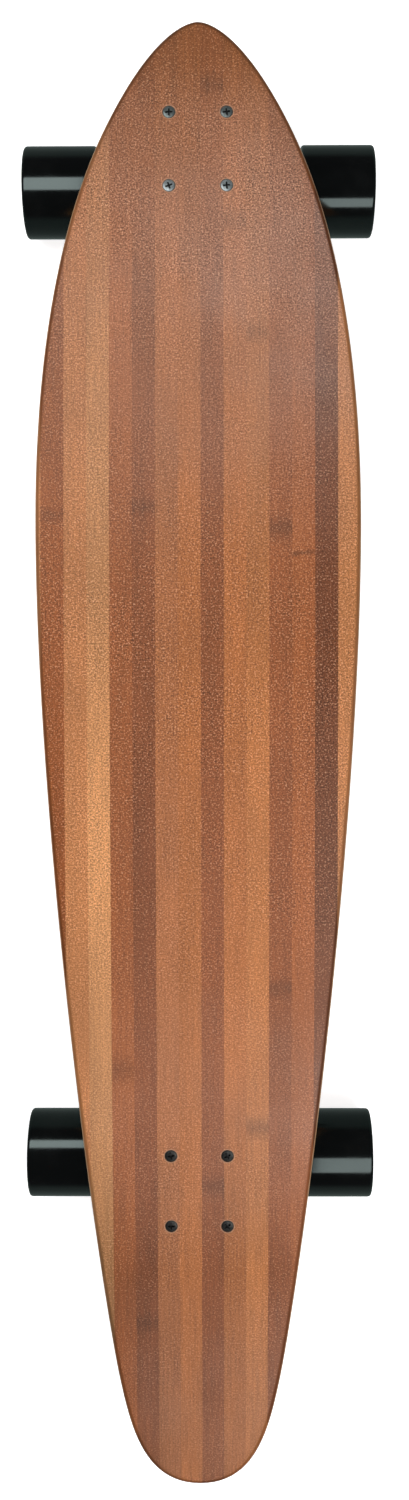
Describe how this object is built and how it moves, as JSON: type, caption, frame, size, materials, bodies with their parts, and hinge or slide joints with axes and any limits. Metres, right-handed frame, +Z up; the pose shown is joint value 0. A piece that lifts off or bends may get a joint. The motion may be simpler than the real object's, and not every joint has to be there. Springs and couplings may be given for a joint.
{
  "type": "pintail longboard skateboard",
  "caption": "Cambered pintail longboard skateboard: laminated bamboo deck, reverse-kingpin trucks that steer on bushings, wide black wheels that spin on bearings.",
  "frame": {"origin": "on the ground under the middle of the deck's length, between the left and right wheels", "axes": "+Y towards the nose, +X to the right when facing the nose, +Z up; it stands on its wheels"},
  "size_m": [0.264, 1.084, 0.1267],
  "materials": {
    "deck_veneer": "satin, clear coated, strips of light and dark caramel bamboo with a clear grit",
    "deck_core": "satin, edge of the laminate",
    "deck_veneer_bottom": "satin clear coat",
    "riser_rubber": "matt",
    "truck_metal": "black, satin",
    "pivot_urethane": "matt",
    "kingpin_steel": "zinc plated",
    "bushing_urethane": "satin cast urethane",
    "plated_steel": "zinc plated",
    "black_screws": "black oxide",
    "axle_steel": "turned",
    "wheel_urethane": "glossy black cast polyurethane",
    "hub_plastic": "black moulded core",
    "bearing_steel": "ground steel"
  },
  "bodies": {
    "board": {"deck_top_ply": "deck_veneer", "deck_core": "deck_core", "deck_bottom_ply": "deck_veneer_bottom", "front_riser_pad": "riser_rubber", "front_baseplate": "truck_metal", "front_pivot_cup": "pivot_urethane", "front_kingpin": "kingpin_steel", "front_board_bushing": "bushing_urethane", "front_road_bushing": "bushing_urethane", "front_bushing_washer": "plated_steel", "front_kingpin_nut": "plated_steel", "front_screw_1": "black_screws", "front_lock_nut_1": "plated_steel", "front_screw_2": "black_screws", "front_lock_nut_2": "plated_steel", "front_screw_3": "black_screws", "front_lock_nut_3": "plated_steel", "front_screw_4": "black_screws", "front_lock_nut_4": "plated_steel", "rear_riser_pad": "riser_rubber", "rear_baseplate": "truck_metal", "rear_pivot_cup": "pivot_urethane", "rear_kingpin": "kingpin_steel", "rear_board_bushing": "bushing_urethane", "rear_road_bushing": "bushing_urethane", "rear_bushing_washer": "plated_steel", "rear_kingpin_nut": "plated_steel", "rear_screw_1": "black_screws", "rear_lock_nut_1": "plated_steel", "rear_screw_2": "black_screws", "rear_lock_nut_2": "plated_steel", "rear_screw_3": "black_screws", "rear_lock_nut_3": "plated_steel", "rear_screw_4": "black_screws", "rear_lock_nut_4": "plated_steel"},
    "front_hanger_assembly": {"front_hanger": "truck_metal", "front_axle": "axle_steel", "front_left_axle_nut": "plated_steel", "front_right_axle_nut": "plated_steel"},
    "front_left_wheel": {"front_left_wheel_tyre": "wheel_urethane", "front_left_wheel_hub": "hub_plastic", "front_left_wheel_inner_bearing": "bearing_steel", "front_left_wheel_outer_bearing": "bearing_steel"},
    "front_right_wheel": {"front_right_wheel_tyre": "wheel_urethane", "front_right_wheel_hub": "hub_plastic", "front_right_wheel_inner_bearing": "bearing_steel", "front_right_wheel_outer_bearing": "bearing_steel"},
    "rear_hanger_assembly": {"rear_hanger": "truck_metal", "rear_axle": "axle_steel", "rear_left_axle_nut": "plated_steel", "rear_right_axle_nut": "plated_steel"},
    "rear_left_wheel": {"rear_left_wheel_tyre": "wheel_urethane", "rear_left_wheel_hub": "hub_plastic", "rear_left_wheel_inner_bearing": "bearing_steel", "rear_left_wheel_outer_bearing": "bearing_steel"},
    "rear_right_wheel": {"rear_right_wheel_tyre": "wheel_urethane", "rear_right_wheel_hub": "hub_plastic", "rear_right_wheel_inner_bearing": "bearing_steel", "rear_right_wheel_outer_bearing": "bearing_steel"}
  },
  "joints": [
    {"name": "front_steer", "type": "hinge", "parent": "board", "child": "front_hanger_assembly", "pos_m": [0, 0.45122, 0.05687], "axis": [0, -0.7147, -0.6995], "range_deg": [-15, 15], "stiffness_Nm_per_rad": 60, "deforming": ["front_board_bushing", "front_road_bushing"]},
    {"name": "front_left_wheel_spin", "type": "hinge", "parent": "front_hanger_assembly", "child": "front_left_wheel", "pos_m": [-0.1045, 0.44058, 0.0335], "axis": [-1, 0, 0], "continuous": true},
    {"name": "front_right_wheel_spin", "type": "hinge", "parent": "front_hanger_assembly", "child": "front_right_wheel", "pos_m": [0.1045, 0.44058, 0.0335], "axis": [-1, 0, 0], "continuous": true},
    {"name": "rear_steer", "type": "hinge", "parent": "board", "child": "rear_hanger_assembly", "pos_m": [0, -0.31076, 0.05687], "axis": [0, -0.7147, 0.6995], "range_deg": [-15, 15], "stiffness_Nm_per_rad": 60, "deforming": ["rear_board_bushing", "rear_road_bushing"]},
    {"name": "rear_left_wheel_spin", "type": "hinge", "parent": "rear_hanger_assembly", "child": "rear_left_wheel", "pos_m": [-0.1045, -0.30012, 0.0335], "axis": [-1, 0, 0], "continuous": true},
    {"name": "rear_right_wheel_spin", "type": "hinge", "parent": "rear_hanger_assembly", "child": "rear_right_wheel", "pos_m": [0.1045, -0.30012, 0.0335], "axis": [-1, 0, 0], "continuous": true}
  ]
}
